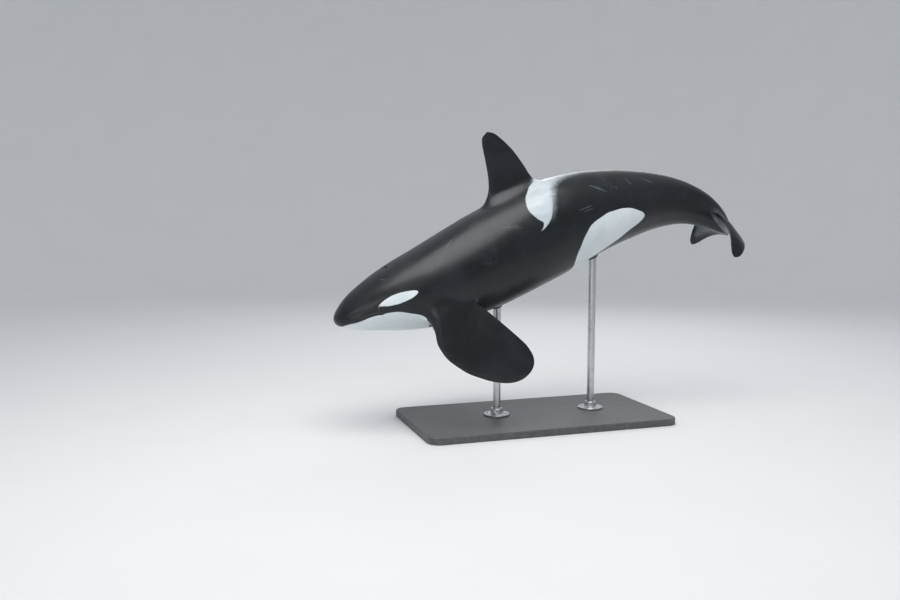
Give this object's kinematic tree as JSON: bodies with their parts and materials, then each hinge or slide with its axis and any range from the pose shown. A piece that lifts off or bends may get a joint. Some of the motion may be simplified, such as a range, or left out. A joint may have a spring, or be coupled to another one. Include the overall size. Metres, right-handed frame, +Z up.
{
  "type": "orca display model",
  "caption": "Life-size still orca in a shallow head-down dive, tail bent down, held over a flat display base by upright rods.",
  "frame": {"origin": "centre of the display base's underside", "axes": "+X towards the tail, so the head points to -X; the animal's left side faces -Y; +Z up"},
  "size_m": [5.5745, 1.9381, 3.6616],
  "materials": {
    "skin": "smooth, wet-looking skin; black with white chin, belly, flank lobes and eye patches, and a grey-white saddle",
    "eye": "polished, very dark brown",
    "stand_base": "fine satin powder coat, charcoal",
    "stand_metal": "brushed"
  },
  "bodies": {
    "root": {"head": "skin", "lower_jaw": "skin", "trunk": "skin", "tail_stock": "skin", "dorsal_fin": "skin", "flipper_left": "skin", "flipper_right": "skin", "fluke_left": "skin", "fluke_right": "skin", "eye_left": "eye", "eye_right": "eye", "stand_base": "stand_base", "stand_flange_front": "stand_metal", "stand_flange_rear": "stand_metal", "stand_rod_front": "stand_metal", "stand_rod_rear": "stand_metal"}
  },
  "joints": []
}
